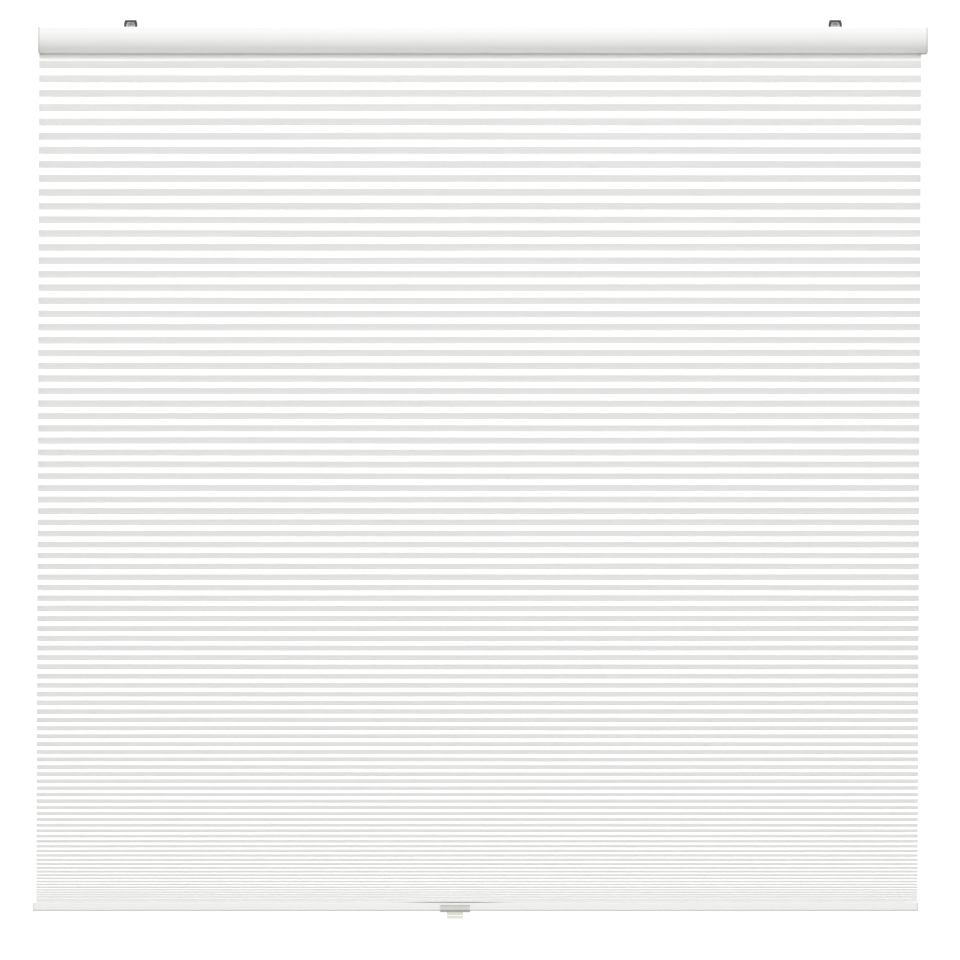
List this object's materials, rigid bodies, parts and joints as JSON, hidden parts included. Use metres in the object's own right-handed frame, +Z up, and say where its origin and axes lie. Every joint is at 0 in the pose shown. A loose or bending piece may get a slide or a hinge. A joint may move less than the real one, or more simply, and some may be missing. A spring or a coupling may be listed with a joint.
{
  "type": "cordless cellular pleated blind",
  "caption": "Cordless pleated blind with cellular fabric between a head rail in ceiling brackets and a slim bottom rail, lifted by a clear handle.",
  "frame": {"origin": "in the ceiling plane, midway between the brackets' two screw holes", "axes": "X runs along the blind, -Y faces the room, +Z points up at the ceiling"},
  "size_m": [1.206, 0.046, 1.2376],
  "materials": {
    "rail_aluminium": "white powder coat",
    "cap_plastic": "moulded white",
    "bracket_steel": "dark zinc plate",
    "latch_plastic": "moulded",
    "cell_fabric": "spunlaced polyester, cellular",
    "strip_plastic": "extruded",
    "clear_plastic": "clear",
    "shaft_steel": "drawn",
    "motor_plastic": "moulded",
    "drum_plastic": "moulded acetal",
    "spring_steel": "rolled",
    "cord": "braided polyester"
  },
  "bodies": {
    "head": {"head_rail": "rail_aluminium", "head_cap_left": "cap_plastic", "head_cap_right": "cap_plastic", "bracket_left": "bracket_steel", "bracket_right": "bracket_steel", "top_strip": "strip_plastic", "fabric": "cell_fabric", "motor_base": "motor_plastic", "motor_cover": "motor_plastic", "storage_axle": "shaft_steel", "power_spring": "spring_steel", "lift_cord_left": "cord", "lift_cord_middle": "cord", "lift_cord_right": "cord", "cradle_left": "drum_plastic", "cradle_middle": "drum_plastic", "cradle_right": "drum_plastic"},
    "drive": {"drive_shaft": "shaft_steel", "output_drum": "drum_plastic", "spool_left": "drum_plastic", "spool_middle": "drum_plastic", "spool_right": "drum_plastic", "winding_left": "cord", "winding_middle": "cord", "winding_right": "cord"},
    "storage": {"storage_drum": "drum_plastic"},
    "bottom": {"bottom_rail": "rail_aluminium", "bottom_cap_left": "cap_plastic", "bottom_cap_right": "cap_plastic", "bottom_strip": "strip_plastic", "handle": "clear_plastic", "cord_anchor_left": "cap_plastic", "cord_anchor_middle": "cap_plastic", "cord_anchor_right": "cap_plastic"},
    "latch_left": {"latch_left": "latch_plastic"},
    "latch_right": {"latch_right": "latch_plastic"}
  },
  "joints": [
    {"name": "lift", "type": "slide", "parent": "head", "child": "bottom", "axis": [0, 0, 1], "range_m": [-0.357, 1.06], "deforming": ["fabric", "lift_cord_left", "lift_cord_middle", "lift_cord_right"]},
    {"name": "shaft_turn", "type": "hinge", "parent": "head", "child": "drive", "pos_m": [0, 0.0092, -0.0254], "axis": [1, 0, 0], "range_deg": [-6650, 2260]},
    {"name": "storage_turn", "type": "hinge", "parent": "head", "child": "storage", "pos_m": [0.19, -0.0082, -0.0254], "axis": [1, 0, 0], "range_deg": [-2120, 6180]},
    {"name": "latch_left_slide", "type": "slide", "parent": "head", "child": "latch_left", "axis": [0, -1, 0], "range_m": [0, 0.0032], "stiffness_N_per_m": 600, "springref_m": -0.001},
    {"name": "latch_right_slide", "type": "slide", "parent": "head", "child": "latch_right", "axis": [0, -1, 0], "range_m": [0, 0.0032], "stiffness_N_per_m": 600, "springref_m": -0.001}
  ],
  "couplings": [
    {"joint": "shaft_turn", "follows": "lift", "rad_per_m": -108.7},
    {"joint": "storage_turn", "follows": "lift", "rad_per_m": 100.54}
  ]
}
